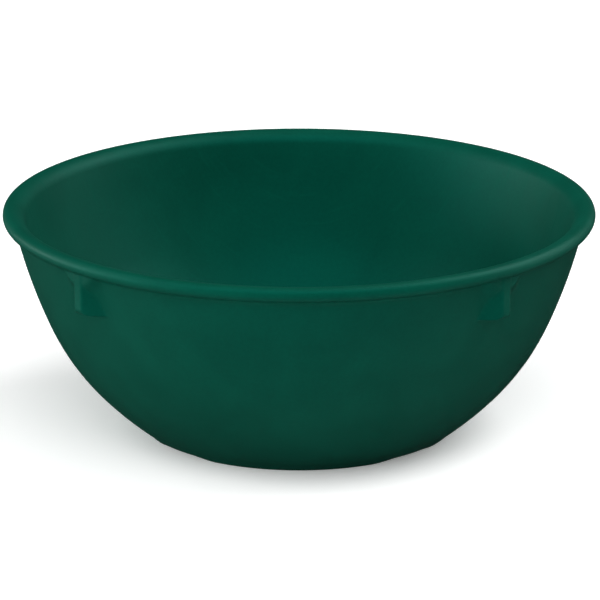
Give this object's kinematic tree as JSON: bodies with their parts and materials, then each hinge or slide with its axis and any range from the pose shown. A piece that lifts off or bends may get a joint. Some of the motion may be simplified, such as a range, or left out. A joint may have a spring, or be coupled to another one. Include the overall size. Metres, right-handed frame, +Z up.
{
  "type": "serving bowl",
  "caption": "Small round moulded serving and mixing bowl with a beaded rim, stacking lugs below it, and a low foot ring with drain notches.",
  "frame": {"origin": "centre of the foot ring, on the surface that the bowl stands on", "axes": "+Z up along the bowl's axis. The stacking lugs and the drain notches lie at 45, 135, 225 and 315 degrees from +X"},
  "size_m": [0.14, 0.14, 0.0539],
  "materials": {
    "melamine": "moulded, soft gloss, dark green"
  },
  "bodies": {
    "root": {"bowl": "melamine"}
  },
  "joints": []
}
